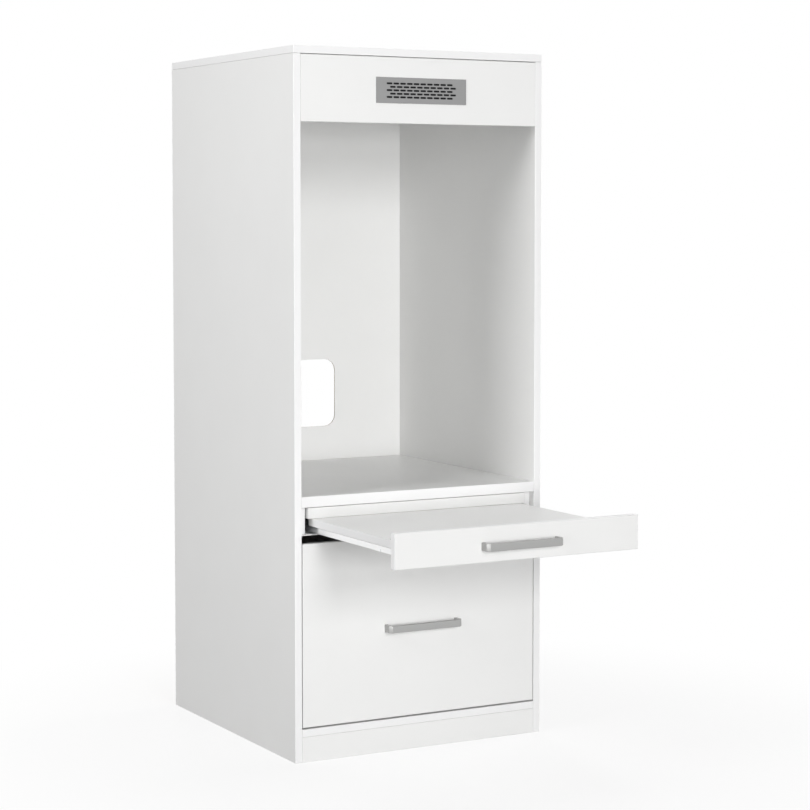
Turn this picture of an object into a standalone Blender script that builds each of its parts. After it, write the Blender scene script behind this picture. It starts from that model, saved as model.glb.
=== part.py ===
"""White laundry tower: an open appliance niche over a pull-out tray and a deep drawer.

Metres. +Z is up, +Y runs into the cabinet, and X runs across it. The origin is on the floor,
at the centre of the plinth panel's underside. The tray is drawn out and the drawer is shut.
"""
import bmesh
import bpy
from math import cos, pi, sin
from mathutils import Vector

# Carcass
cabinet_width = 0.675
cabinet_depth = 0.715
board = 0.018
shelf_board = 0.025
plinth_height = 0.060
drawer_front_height = 0.434
tray_front_height = 0.080
niche_height = 0.873
apron_height = 0.155

# Gaps between fronts and carcass, and the gap that touching pieces keep
fit_gap = 0.0003
front_side_gap = 0.002
front_gap = 0.003
drawer_foot_gap = 0.004
apron_gap = 0.002

# Back panels, their groove and the strip that joins them
back_board = 0.003
back_recess = 0.022
groove_depth = 0.008
strip_wall = 0.001
strip_height = 0.016

# Battens and rails under the shelf, the top and the bottom panel
batten_height = 0.0654
batten_setback = 0.020
dust_board = 0.003
top_rail_height = 0.080

# Service cut-out in the upper back panel
service_width = 0.240
service_height = 0.180
service_sill = 0.090
service_corner = 0.030

# Vent grille: a slotted plate with a collar that enters the apron
vent_plate_width = 0.245
vent_plate_height = 0.061
vent_plate_thickness = 0.0012
vent_hole_width = 0.204
vent_hole_height = 0.046
vent_collar_wall = 0.001
vent_collar_depth = 0.012
slot_length = 0.0156
slot_height = 0.0045
slot_pitch = 0.0182
slot_row_pitch = 0.0080
slots_in_row = 10
slot_rows = 5

# Wall brackets in the recess behind the back
bracket_steel = 0.002
wall_bracket_width = 0.040
wall_bracket_height = 0.050
wall_bracket_drop = 0.030
wall_hole_radius = 0.004

# Tray
tray_travel = 0.450
tray_lip = 0.0255
tray_depth = 0.459
tray_rail_side_gap = 0.0025
tray_rail_top_gap = 0.0025
tray_side_gap = 0.0127
front_bracket_width = 0.030
front_bracket_leg = 0.018
front_bracket_inset = 0.0735

# Drawer box
drawer_travel = 0.550
drawer_board = 0.016
drawer_box_height = 0.360
drawer_box_lift = 0.012
drawer_bottom_board = 0.006
drawer_bottom_lift = 0.012

# Slides: depth from the mounting face, width across the nest, steel, balls and cages
member_gap = 0.0004
reach_gap = 0.001
cage_steel = 0.0005
cage_margin = 0.005
balls_in_row = 4
tray_slide_length = 0.400
tray_slide_setback = 0.011
tray_slide_depth = 0.016
tray_slide_width = 0.024
tray_slide_steel = 0.001
tray_slide_plate_drop = 0.002
tray_ball = 0.0016
drawer_slide_length = 0.550
drawer_slide_depth = 0.0127
drawer_slide_width = 0.045
drawer_slide_steel = 0.0012
drawer_ball = 0.003
drawer_slide_lift = 0.060

# Bar handles and their screws
handle_length = 0.200
handle_height = 0.018
handle_projection = 0.028
handle_bar = 0.006
handle_leg = 0.008
handle_facet = 0.0065
handle_inner_radius = 0.002
handle_edge = 0.001
tray_handle_drop = 0.0035
screw_radius = 0.002
screw_hole_radius = 0.0023
screw_head_radius = 0.0035
screw_head_height = 0.0022
screw_pocket_radius = 0.0043
screw_pocket_depth = 0.0028
screw_bite = 0.012
screw_hole_spare = 0.002

# Rounding of board edges, cutters' overrun and facets
edge_radius = 0.0008
overrun = 0.002
edge_steps = 2
arc_steps = 4
round_steps = 16
turn = 2 * pi

# Finishes: colour, roughness, metallic
white_melamine = ((0.905, 0.905, 0.900), 0.35, 0.0)
white_hardboard = ((0.850, 0.850, 0.845), 0.55, 0.0)
satin_nickel = ((0.520, 0.515, 0.505), 0.35, 1.0)
brushed_stainless = ((0.450, 0.450, 0.450), 0.40, 1.0)
zinc_steel = ((0.620, 0.630, 0.640), 0.30, 1.0)
coated_steel = ((0.900, 0.900, 0.895), 0.40, 0.3)
ball_steel = ((0.700, 0.700, 0.710), 0.15, 1.0)
white_plastic = ((0.860, 0.860, 0.850), 0.45, 0.0)

# Places that follow from the values above
front_y = -board / 2
rear_y = front_y + cabinet_depth
side_face = cabinet_width / 2 - board
between_sides = side_face - fit_gap
bottom_top = plinth_height + board
drawer_front_low = bottom_top + drawer_foot_gap
drawer_front_high = drawer_front_low + drawer_front_height
tray_front_low = drawer_front_high + front_gap
tray_front_high = tray_front_low + tray_front_height
shelf_low = tray_front_high + front_gap
shelf_high = shelf_low + shelf_board
apron_low = shelf_high + niche_height
apron_high = apron_low + apron_height
top_low = apron_high + apron_gap
top_high = top_low + board
back_y = rear_y - back_recess - back_board
carcass_rear = back_y - fit_gap
strip_front = carcass_rear - strip_wall
strip_centre = (shelf_low + shelf_high) / 2
shelf_rear = strip_front - fit_gap
batten_front = front_y + batten_setback
batten_low = shelf_low - fit_gap - batten_height
batten_face = between_sides - board
dust_high = batten_low - fit_gap
front_half_width = side_face - front_side_gap
tray_half_board = batten_face - tray_side_gap
tray_board_high = tray_front_high - tray_lip
tray_board_low = tray_board_high - board


def clear_scene():
    """Removes every object of the scene that the script is run in."""
    for item in list(bpy.data.objects):
        bpy.data.objects.remove(item, do_unlink=True)


def paint(item, finish):
    """Gives an object its own Principled material."""
    colour, roughness, metallic = finish
    material = bpy.data.materials.new(item.name)
    material.use_nodes = True
    shader = material.node_tree.nodes["Principled BSDF"]
    shader.inputs["Base Color"].default_value = (*colour, 1)
    shader.inputs["Roughness"].default_value = roughness
    shader.inputs["Metallic"].default_value = metallic
    item.data.materials.append(material)


def carrier(name, y, z):
    """Makes the empty that a body's pieces hang from, on the body's line of travel."""
    empty = bpy.data.objects.new(name, None)
    empty.location = (0, y, z)
    bpy.context.collection.objects.link(empty)
    return empty


def settle(name, form, parent, finish):
    """Makes an object of a bmesh in world places, with its origin at its own middle."""
    low = Vector([min(v.co[k] for v in form.verts) for k in range(3)])
    high = Vector([max(v.co[k] for v in form.verts) for k in range(3)])
    middle = (low + high) / 2
    bmesh.ops.translate(form, vec=-middle, verts=form.verts)
    bmesh.ops.recalc_face_normals(form, faces=form.faces)
    mesh = bpy.data.meshes.new(name)
    form.to_mesh(mesh)
    form.free()
    item = bpy.data.objects.new(name, mesh)
    bpy.context.collection.objects.link(item)
    item.parent = parent
    item.location = middle - parent.location
    paint(item, finish)
    return item


def prism(name, outline, axis, span, parent, finish):
    """Extrudes an outline, given in the two other axes in X, Y, Z order, along an axis."""
    form = bmesh.new()
    start, end = span
    corners = []
    for pair in outline:
        place = list(pair)
        place.insert(axis, start)
        corners.append(form.verts.new(place))
    face = form.faces.new(corners)
    grown = bmesh.ops.extrude_face_region(form, geom=[face])
    raised = [g for g in grown["geom"] if isinstance(g, bmesh.types.BMVert)]
    step = Vector((0, 0, 0))
    step[axis] = end - start
    bmesh.ops.translate(form, vec=step, verts=raised)
    return settle(name, form, parent, finish)


def block(name, x, y, z, parent, finish):
    """Makes a plain box from three spans."""
    outline = [(y[0], z[0]), (y[1], z[0]), (y[1], z[1]), (y[0], z[1])]
    return prism(name, outline, 0, x, parent, finish)


def soften(item, width):
    """Rounds an object's sharp edges."""
    bevel = item.modifiers.new("soft_edges", "BEVEL")
    bevel.width = width
    bevel.segments = edge_steps
    bevel.limit_method = "ANGLE"


def panel(name, x, y, z, parent, finish=white_melamine):
    """Makes a board with its edge bands rounded."""
    item = block(name, x, y, z, parent, finish)
    soften(item, edge_radius)
    return item


def combine(item, tool, operation):
    """Cuts or joins an object with a guide that the render leaves out."""
    tool.hide_render = True
    tool.display_type = "WIRE"
    boolean = item.modifiers.new(tool.name, "BOOLEAN")
    boolean.operation = operation
    boolean.solver = "EXACT"
    boolean.object = tool


def cut(item, tool):
    """Takes the tool's shape out of an object."""
    combine(item, tool, "DIFFERENCE")


def quarter(centre, radius, start, end):
    """Gives the points of an arc about a centre, from one angle to another."""
    return [
        (centre[0] + radius * cos(start + (end - start) * k / arc_steps),
         centre[1] + radius * sin(start + (end - start) * k / arc_steps))
        for k in range(arc_steps + 1)
    ]


def rounded_rectangle(x, z, radius):
    """Gives the outline of a rectangle with round corners."""
    corners = [
        ((x[1] - radius, z[0] + radius), -pi / 2),
        ((x[1] - radius, z[1] - radius), 0),
        ((x[0] + radius, z[1] - radius), pi / 2),
        ((x[0] + radius, z[0] + radius), pi),
    ]
    return [p for centre, start in corners for p in quarter(centre, radius, start, start + pi / 2)]


def turned_along_y(name, profile, x, z, parent, finish):
    """Spins a profile of (radius, y) points about a line along Y, ends on the line."""
    form = bmesh.new()
    points = [form.verts.new((x + radius, y, z)) for radius, y in profile]
    edges = [form.edges.new(pair) for pair in zip(points, points[1:])]
    bmesh.ops.spin(form, geom=points + edges, cent=(x, 0, z), axis=(0, 1, 0), angle=turn,
                   steps=round_steps, use_merge=True)
    bmesh.ops.remove_doubles(form, verts=form.verts, dist=fit_gap / round_steps)
    item = settle(name, form, parent, finish)
    item.data.shade_smooth()
    item.data.set_sharp_from_angle(angle=pi / 6)
    return item


def hole_along_y(item, x, z, y, radius, name):
    """Bores a round hole along Y through an object."""
    profile = [(0, y[0]), (radius, y[0]), (radius, y[1]), (0, y[1])]
    cut(item, turned_along_y(name, profile, x, z, item.parent, zinc_steel))


def handle_screw(name, x, z, head_y, tip_y, parent):
    """Makes a pan-head screw along Y with its head's underside at head_y."""
    under = head_y + fit_gap
    profile = [
        (0, tip_y),
        (screw_radius, tip_y),
        (screw_radius, under),
        (screw_head_radius, under),
        (screw_head_radius, under + screw_head_height),
        (0, under + screw_head_height),
    ]
    return turned_along_y(name, profile, x, z, parent, zinc_steel)


def handle_outline(face_y):
    """Gives a bar handle seen from above: two legs, two faceted corners and the bar between."""
    half = handle_length / 2
    foot = face_y - fit_gap
    nose = face_y - handle_projection
    inside = nose + handle_bar
    facet_x = half - handle_facet
    facet_y = nose + handle_facet
    leg_x = half - handle_leg
    inner_x = leg_x - handle_inner_radius
    inner_y = inside + handle_inner_radius
    outline = [(-half, foot), (-half, facet_y), (-facet_x, nose)]
    outline += [(facet_x, nose), (half, facet_y), (half, foot), (leg_x, foot)]
    outline += quarter((inner_x, inner_y), handle_inner_radius, 0, -pi / 2)
    outline += quarter((-inner_x, inner_y), handle_inner_radius, -pi / 2, -pi)
    outline += [(-leg_x, foot)]
    return outline


def bar_handle(prefix, face_y, centre_z, boards, parent):
    """Makes a handle and the screws that hold it, with their heads sunk in the last board."""
    half_height = handle_height / 2
    handle = prism(prefix + "_handle", handle_outline(face_y), 2,
                   (centre_z - half_height, centre_z + half_height), parent, satin_nickel)
    soften(handle, handle_edge)
    last, back_face = boards[-1]
    head_y = back_face - screw_pocket_depth
    tip_y = face_y - screw_bite
    for side, sign in (("left", -1), ("right", 1)):
        x = sign * (handle_length - handle_leg) / 2
        hole = (tip_y - screw_hole_spare, face_y + overrun)
        hole_along_y(handle, x, centre_z, hole, screw_hole_radius, prefix + "_handle_bore_" + side)
        for item, rear in boards:
            span = (face_y - overrun, rear + overrun)
            hole_along_y(item, x, centre_z, span, screw_hole_radius, item.name + "_bore_" + side)
        pocket = (head_y, back_face + overrun)
        hole_along_y(last, x, centre_z, pocket, screw_pocket_radius, last.name + "_pocket_" + side)
        handle_screw(prefix + "_handle_screw_" + side, x, centre_z, head_y, tip_y, parent)


class Slide:
    """A ball-bearing slide: five nested pieces, each of which travels a quarter further.

    u runs from the face that the widest member is screwed to towards the narrowest, and v runs
    across the nest from its middle line. The widest member is screwed to the cabinet.
    """

    roles = ("cabinet_member", "outer_cage", "middle_member", "inner_cage", "moving_member")

    def __init__(self, prefix, face, centre, front, depth, width, length, travel, steel, ball, drawn):
        self.prefix = prefix
        self.face = face
        self.centre = centre
        self.front = front
        self.length = length
        self.travel = travel
        self.steel = steel
        self.ball = ball
        self.drawn = drawn
        track = ball + 2 * fit_gap
        self.outer_half = width / 2
        self.middle_half = self.outer_half - steel - track
        self.inner_half = self.middle_half - steel - track
        self.outer_web = fit_gap
        self.outer_cage_web = self.outer_web + steel + member_gap
        self.middle_web = self.outer_cage_web + cage_steel + member_gap
        self.inner_cage_web = self.middle_web + steel + member_gap
        self.inner_reach = self.inner_cage_web + cage_steel + member_gap
        self.inner_web = depth - fit_gap
        self.reach = self.inner_web - steel - reach_gap
        self.cage_length = length - travel / 2 - 2 * cage_margin

    def spot(self, sign, u, v):
        """Turns one (u, v) point into world (x, z) on one side of the cabinet."""
        return (sign * (self.face - u), self.centre + v)

    def height(self):
        """Gives the height of the line that the slide's bodies travel on."""
        return self.centre

    def nest(self):
        """Gives each role's place in the nest: 0 is the widest and 4 the narrowest."""
        return range(len(self.roles))

    def channel(self, web, reach, half, wall):
        """Gives a C outline in (u, v), with its web's outer face at web."""
        inside = web + wall if reach > web else web - wall
        return [
            (web, -half), (reach, -half), (reach, wall - half), (inside, wall - half),
            (inside, half - wall), (reach, half - wall), (reach, half), (web, half),
        ]

    def narrowest(self):
        """Gives the narrowest member's outline, which opens towards the widest."""
        return self.channel(self.inner_web, self.inner_reach, self.inner_half, self.steel)

    def span(self, start, length, quarters):
        """Gives the Y span of a piece that takes so many quarters of the travel."""
        moved = self.front + start - (self.travel * quarters / 4 if self.drawn else 0)
        return (moved, moved + length)

    def member(self, role, outline, quarters, side, sign, parent, finish):
        """Makes one steel member with its outline carried along Y."""
        name = self.prefix + "_slide_" + role + "_" + side
        outline = [self.spot(sign, u, v) for u, v in outline]
        return prism(name, outline, 1, self.span(0, self.length, quarters), parent, finish)

    def cage(self, role, web, track_v, quarters, side, sign, parent):
        """Makes a ball cage: a thin channel with its balls set in both strips."""
        name = self.prefix + "_slide_" + role + "_" + side
        outline = self.channel(web, self.reach, track_v + cage_steel / 2, cage_steel)
        outline = [self.spot(sign, u, v) for u, v in outline]
        span = self.span(cage_margin + self.travel / 4, self.cage_length, quarters)
        cage = prism(name, outline, 1, span, parent, ball_steel)
        combine(cage, self.balls(name + "_balls", track_v, span, sign, parent), "UNION")
        return cage

    def balls(self, name, track_v, span, sign, parent):
        """Makes the two rows of balls that a cage carries."""
        form = bmesh.new()
        u = (self.inner_reach + self.reach) / 2
        pitch = (span[1] - span[0]) / balls_in_row
        for v in (-track_v, track_v):
            x, z = self.spot(sign, u, v)
            for k in range(balls_in_row):
                ball = bmesh.ops.create_icosphere(form, subdivisions=1, radius=self.ball / 2)
                place = Vector((x, span[0] + pitch * (k + 1 / 2), z))
                bmesh.ops.translate(form, vec=place, verts=ball["verts"])
        return settle(name, form, parent, ball_steel)

    def make(self, carriers, moving_finish):
        """Makes both sides' slides. Carriers follow the roles' order."""
        outer_track = (self.outer_half - self.steel + self.middle_half) / 2
        inner_track = (self.middle_half - self.steel + self.inner_half) / 2
        widest = self.channel(self.outer_web, self.reach, self.outer_half, self.steel)
        middle = self.channel(self.middle_web, self.reach, self.middle_half, self.steel)
        members = (widest, None, middle, None, self.narrowest())
        cages = (None, (self.outer_cage_web, outer_track), None, (self.inner_cage_web, inner_track), None)
        for side, sign in (("left", -1), ("right", 1)):
            for quarters, place in enumerate(self.nest()):
                role = self.roles[quarters]
                parent = carriers[quarters]
                if members[place]:
                    finish = moving_finish if parent is carriers[-1] else zinc_steel
                    self.member(role, members[place], quarters, side, sign, parent, finish)
                else:
                    self.cage(role, *cages[place], quarters, side, sign, parent)


class HiddenSlide(Slide):
    """The same nest turned over under a board: the widest member carries the board.

    u runs down from the board's underside and v outwards from the nest's middle line. The
    narrowest member belongs to the cabinet. A foot and a plate join it to the batten.
    """

    def spot(self, sign, u, v):
        """Turns one (u, v) point into world (x, z) on one side of the cabinet."""
        return (sign * (self.centre + v), self.face - u)

    def height(self):
        """Gives the height of the line that the slide's bodies travel on."""
        return self.face

    def nest(self):
        """Gives each role's place in the nest: the cabinet's member is the narrowest."""
        return reversed(range(len(self.roles)))

    def narrowest(self):
        """Gives the narrowest member's outline, with its foot and the plate on the batten."""
        web = self.inner_web
        inside_web = web - self.steel
        half = self.inner_half
        inside = half - self.steel
        plate = batten_face - fit_gap - self.centre
        plate_inside = plate - self.steel
        plate_top = tray_slide_plate_drop
        return [
            (web, -half), (web, plate), (plate_top, plate), (plate_top, plate_inside),
            (inside_web, plate_inside), (inside_web, half), (self.inner_reach, half),
            (self.inner_reach, inside), (inside_web, inside), (inside_web, -inside),
            (self.inner_reach, -inside), (self.inner_reach, -half),
        ]


def side_panels(cabinet):
    """Makes both side panels, from the floor to the top panel, grooved for the back."""
    for side, sign in (("left", -1), ("right", 1)):
        x = sorted((sign * side_face, sign * cabinet_width / 2))
        height = (0, top_low - fit_gap)
        item = panel("side_panel_" + side, x, (front_y, rear_y), height, cabinet)
        groove_x = sorted((sign * (side_face - overrun), sign * (side_face + groove_depth)))
        groove_y = (back_y - fit_gap, back_y + back_board + fit_gap)
        groove_z = (-overrun, top_low + overrun)
        cut(item, block("groove_" + side, groove_x, groove_y, groove_z, cabinet, white_melamine))


def carcass_panels(cabinet):
    """Makes the top, bottom, plinth and shelf boards and the rails behind and under them."""
    across = (-between_sides, between_sides)
    panel("top_panel", (-cabinet_width / 2, cabinet_width / 2), (front_y, rear_y),
          (top_low, top_high), cabinet)
    panel("bottom_panel", across, (front_y, carcass_rear), (plinth_height, bottom_top), cabinet)
    plinth_z = (0, plinth_height - fit_gap)
    panel("plinth_panel", across, (front_y, front_y + board), plinth_z, cabinet)
    panel("plinth_rail_rear", across, (carcass_rear - board, carcass_rear), plinth_z, cabinet)
    panel("appliance_shelf", across, (front_y, shelf_rear), (shelf_low, shelf_high), cabinet)
    rail_front = shelf_rear - board
    under_shelf = (batten_low, shelf_low - fit_gap)
    panel("shelf_rail_rear", across, (rail_front, shelf_rear), under_shelf, cabinet)
    for side, sign in (("left", -1), ("right", 1)):
        x = sorted((sign * batten_face, sign * between_sides))
        panel("shelf_batten_" + side, x, (batten_front, rail_front - fit_gap), under_shelf, cabinet)
    block("dust_panel", across, (batten_front, shelf_rear), (dust_high - dust_board, dust_high),
          cabinet, white_hardboard)
    top_rail_z = (top_low - fit_gap - top_rail_height, top_low - fit_gap)
    panel("top_rail_rear", across, (carcass_rear - board, carcass_rear), top_rail_z, cabinet)


def back_panels(cabinet):
    """Makes the two hardboard backs and the H-section strip that joins them."""
    reach = side_face + groove_depth - fit_gap
    x = (-reach, reach)
    y = (back_y, back_y + back_board)
    half_web = strip_wall / 2
    lower_z = (plinth_height, strip_centre - half_web - fit_gap)
    upper_z = (strip_centre + half_web + fit_gap, top_low - fit_gap)
    block("back_panel_lower", x, y, lower_z, cabinet, white_hardboard)
    upper = block("back_panel_upper", x, y, upper_z, cabinet, white_hardboard)
    sill = shelf_high + service_sill
    opening = rounded_rectangle((-service_width / 2, service_width / 2),
                                (sill, sill + service_height), service_corner)
    cut(upper, prism("service_cut", opening, 1, (back_y - overrun, back_y + back_board + overrun),
                     cabinet, white_hardboard))
    rear_face = back_y + back_board + fit_gap
    low, high = strip_centre - strip_height / 2, strip_centre + strip_height / 2
    web_low, web_high = strip_centre - half_web, strip_centre + half_web
    section = [
        (strip_front, low), (carcass_rear, low), (carcass_rear, web_low), (rear_face, web_low),
        (rear_face, low), (rear_face + strip_wall, low), (rear_face + strip_wall, high),
        (rear_face, high), (rear_face, web_high), (carcass_rear, web_high), (carcass_rear, high),
        (strip_front, high),
    ]
    prism("back_joint_strip", section, 0, (-between_sides, between_sides), cabinet, white_plastic)


def wall_brackets(cabinet):
    """Makes the two steel angles that stop the cabinet from tipping, in the rear recess."""
    front = back_y + back_board + fit_gap
    high = top_low - wall_bracket_drop
    z = (high - wall_bracket_height, high)
    for side, sign in (("left", -1), ("right", 1)):
        outer = sign * between_sides
        wall = sign * (between_sides - bracket_steel)
        inner = sign * (between_sides - wall_bracket_width)
        section = [
            (outer, front), (wall, front), (wall, rear_y - bracket_steel),
            (inner, rear_y - bracket_steel), (inner, rear_y), (outer, rear_y),
        ]
        item = prism("wall_bracket_" + side, section, 2, z, cabinet, zinc_steel)
        span = (rear_y - bracket_steel - overrun, rear_y + overrun)
        hole_along_y(item, (wall + inner) / 2, (z[0] + z[1]) / 2, span, wall_hole_radius,
                     "wall_hole_" + side)


def slot_cutter(centre_z, cabinet):
    """Makes the grille's rows of round-ended slots, alternate rows half a pitch over."""
    form = bmesh.new()
    radius = slot_height / 2
    straight = (slot_length - slot_height) / 2
    start_y = front_y - vent_plate_thickness - overrun
    depth = Vector((0, vent_plate_thickness + 2 * overrun, 0))
    for row in range(slot_rows):
        z = centre_z + ((slot_rows - 1) / 2 - row) * slot_row_pitch
        shift = (row % 2 - 1 / 2) * slot_pitch / 2
        for k in range(slots_in_row):
            x = (k - (slots_in_row - 1) / 2) * slot_pitch + shift
            outline = quarter((x + straight, z), radius, -pi / 2, pi / 2)
            outline += quarter((x - straight, z), radius, pi / 2, 3 * pi / 2)
            face = form.faces.new([form.verts.new((a, start_y, b)) for a, b in outline])
            grown = bmesh.ops.extrude_face_region(form, geom=[face])
            raised = [g for g in grown["geom"] if isinstance(g, bmesh.types.BMVert)]
            bmesh.ops.translate(form, vec=depth, verts=raised)
    return settle("vent_slots", form, cabinet, brushed_stainless)


def apron(cabinet):
    """Makes the apron panel with its vent hole, and the slotted grille over the hole."""
    centre_z = (apron_low + apron_high) / 2
    half_hole = vent_hole_width / 2
    half_rise = vent_hole_height / 2
    item = panel("apron_panel", (-between_sides, between_sides), (front_y, front_y + board),
                 (apron_low, apron_high), cabinet)
    through = (front_y - overrun, front_y + board + overrun)
    cut(item, block("vent_hole", (-half_hole, half_hole), through,
                    (centre_z - half_rise, centre_z + half_rise), cabinet, white_melamine))
    half_plate = vent_plate_width / 2
    plate_rise = vent_plate_height / 2
    plate_rear = front_y - fit_gap
    plate = block("vent_grille", (-half_plate, half_plate),
                  (plate_rear - vent_plate_thickness, plate_rear),
                  (centre_z - plate_rise, centre_z + plate_rise), cabinet, brushed_stainless)
    outer_x = half_hole - fit_gap
    outer_z = half_rise - fit_gap
    collar = block("vent_collar", (-outer_x, outer_x),
                   (plate_rear - vent_plate_thickness / 2, front_y + vent_collar_depth),
                   (centre_z - outer_z, centre_z + outer_z), cabinet, brushed_stainless)
    inner_x = outer_x - vent_collar_wall
    inner_z = outer_z - vent_collar_wall
    cut(collar, block("vent_collar_bore", (-inner_x, inner_x), through,
                      (centre_z - inner_z, centre_z + inner_z), cabinet, brushed_stainless))
    combine(plate, collar, "UNION")
    cut(plate, slot_cutter(centre_z, cabinet))


def tray_pieces(tray):
    """Makes the tray's board, front, rear rail, front brackets and handle."""
    front_face = front_y - tray_travel
    board_front = front_face + board + fit_gap
    board_rear = board_front + tray_depth
    front = panel("tray_front", (-front_half_width, front_half_width),
                  (front_face, front_face + board), (tray_front_low, tray_front_high), tray)
    panel("tray_board", (-tray_half_board, tray_half_board), (board_front, board_rear),
          (tray_board_low, tray_board_high), tray)
    half_rail = batten_face - tray_rail_side_gap
    panel("tray_rear_rail", (-half_rail, half_rail), (board_rear - board, board_rear),
          (tray_board_high + fit_gap, shelf_low - tray_rail_top_gap), tray)
    under = tray_board_low - fit_gap
    for side, sign in (("left", -1), ("right", 1)):
        outer_end = tray_half_board - front_bracket_inset
        span = sorted((sign * outer_end, sign * (outer_end - front_bracket_width)))
        section = [
            (board_front, under), (board_front + front_bracket_leg, under),
            (board_front + front_bracket_leg, under - bracket_steel),
            (board_front + bracket_steel, under - bracket_steel),
            (board_front + bracket_steel, under - front_bracket_leg),
            (board_front, under - front_bracket_leg),
        ]
        prism("tray_front_bracket_" + side, section, 0, span, tray, zinc_steel)
    centre_z = (tray_front_low + tray_front_high) / 2 - tray_handle_drop
    bar_handle("tray", front_face, centre_z, [(front, front_face + board)], tray)


def drawer_pieces(drawer):
    """Makes the drawer's front, its box with a grooved-in bottom, and its handle."""
    front_back = front_y + board
    box_front = front_back + fit_gap
    box_rear = box_front + drawer_slide_length
    box_low = drawer_front_low + drawer_box_lift
    box_z = (box_low, box_low + drawer_box_height)
    outer_x = side_face - drawer_slide_depth
    inner_x = outer_x - drawer_board
    across = (fit_gap - inner_x, inner_x - fit_gap)
    front = panel("drawer_front", (-front_half_width, front_half_width), (front_y, front_back),
                  (drawer_front_low, drawer_front_high), drawer)
    inner_rear = box_front + drawer_board
    inner = panel("drawer_inner_front", across, (box_front, inner_rear), box_z, drawer)
    bottom_low = box_low + drawer_bottom_lift
    bottom_high = bottom_low + drawer_bottom_board
    groove_z = (bottom_low - fit_gap, bottom_high + fit_gap)
    groove_front = inner_rear - groove_depth
    cut(inner, block("inner_front_groove", (-side_face, side_face),
                     (groove_front, inner_rear + overrun), groove_z, drawer, white_melamine))
    for side, sign in (("left", -1), ("right", 1)):
        x = sorted((sign * inner_x, sign * outer_x))
        item = panel("drawer_side_" + side, x, (box_front, box_rear), box_z, drawer)
        groove_x = sorted((sign * (inner_x - overrun), sign * (inner_x + groove_depth)))
        cut(item, block("drawer_groove_" + side, groove_x, (groove_front, box_rear + overrun),
                        groove_z, drawer, white_melamine))
    reach = inner_x + groove_depth - fit_gap
    block("drawer_bottom", (-reach, reach), (groove_front + fit_gap, box_rear),
          (bottom_low, bottom_high), drawer, white_hardboard)
    panel("drawer_back", across, (box_rear - drawer_board, box_rear),
          (bottom_high + fit_gap, box_z[1]), drawer)
    centre_z = (drawer_front_low + drawer_front_high) / 2
    boards = [(front, front_back), (inner, inner_rear)]
    bar_handle("drawer", front_y, centre_z, boards, drawer)


def tray_slide():
    """Gives the tray's slide, which hangs under the edge of the tray's board."""
    centre = tray_half_board - tray_slide_width / 2
    return HiddenSlide("tray", tray_board_low, centre, batten_front + tray_slide_setback,
                       tray_slide_depth, tray_slide_width, tray_slide_length, tray_travel,
                       tray_slide_steel, tray_ball, True)


def drawer_slide():
    """Gives the drawer's slide, low on the drawer's sides."""
    centre = drawer_front_low + drawer_box_lift + drawer_slide_lift
    front = front_y + board + fit_gap
    return Slide("drawer", side_face, centre, front, drawer_slide_depth, drawer_slide_width,
                 drawer_slide_length, drawer_travel, drawer_slide_steel, drawer_ball, False)


def slide_carriers(slide, cabinet):
    """Gives the cabinet's empty and the empties of a slide's travelling pieces, as they rest."""
    names = ("_outer_cages", "_slides_middle", "_inner_cages", "")
    return [cabinet] + [
        carrier(slide.prefix + name, slide.span(0, slide.length, k + 1)[0], slide.height())
        for k, name in enumerate(names)
    ]


def main():
    clear_scene()
    cabinet = carrier("cabinet", 0, 0)
    side_panels(cabinet)
    carcass_panels(cabinet)
    back_panels(cabinet)
    wall_brackets(cabinet)
    apron(cabinet)
    fittings = (
        (tray_slide(), coated_steel, tray_pieces),
        (drawer_slide(), zinc_steel, drawer_pieces),
    )
    for slide, moving_finish, pieces in fittings:
        carriers = slide_carriers(slide, cabinet)
        slide.make(carriers, moving_finish)
        pieces(carriers[-1])


main()
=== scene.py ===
"""Looks of a white laundry tower: an open niche over a pull-out tray and a drawer.

Metres. +Z is up, +Y runs into the cabinet and X runs across it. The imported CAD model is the
frame: its boards stay and get their finish here, and its rolled, turned and punched metal
pieces are drawn again in more detail in the same places.
"""
from functools import partial

import bmesh
import bpy
import numpy as np
from bpy.props import FloatProperty, FloatVectorProperty, IntProperty, PointerProperty
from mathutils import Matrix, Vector


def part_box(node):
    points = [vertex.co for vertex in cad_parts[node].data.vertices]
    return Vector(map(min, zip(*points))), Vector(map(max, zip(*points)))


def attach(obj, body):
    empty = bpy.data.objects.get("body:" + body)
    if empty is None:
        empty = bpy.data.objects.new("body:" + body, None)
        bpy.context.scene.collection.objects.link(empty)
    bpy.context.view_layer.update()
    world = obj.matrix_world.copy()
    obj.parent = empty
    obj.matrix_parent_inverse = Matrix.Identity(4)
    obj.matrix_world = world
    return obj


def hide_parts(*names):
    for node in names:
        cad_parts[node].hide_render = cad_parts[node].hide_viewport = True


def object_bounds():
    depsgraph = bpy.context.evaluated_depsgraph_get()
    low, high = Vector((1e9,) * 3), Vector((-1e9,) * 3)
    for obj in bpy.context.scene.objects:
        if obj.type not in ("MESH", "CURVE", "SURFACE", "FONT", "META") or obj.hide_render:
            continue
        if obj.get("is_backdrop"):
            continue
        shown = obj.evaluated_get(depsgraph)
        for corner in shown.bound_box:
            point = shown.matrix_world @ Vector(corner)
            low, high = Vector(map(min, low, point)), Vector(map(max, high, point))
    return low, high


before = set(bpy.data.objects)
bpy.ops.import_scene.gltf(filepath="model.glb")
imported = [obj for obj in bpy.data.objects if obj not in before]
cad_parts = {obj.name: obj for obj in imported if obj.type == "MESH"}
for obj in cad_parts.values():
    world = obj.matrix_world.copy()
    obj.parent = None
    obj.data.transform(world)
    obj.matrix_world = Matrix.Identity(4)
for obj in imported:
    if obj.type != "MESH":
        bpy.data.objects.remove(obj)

bl_info = {
    "name": "Laundry Tower",
    "version": (1, 0, 0),
    "blender": (4, 5, 0),
    "location": "3D View > Sidebar > Laundry Tower",
    "description": "Finishes, fittings and stage of a white laundry tower cabinet",
    "category": "Object",
}

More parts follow.
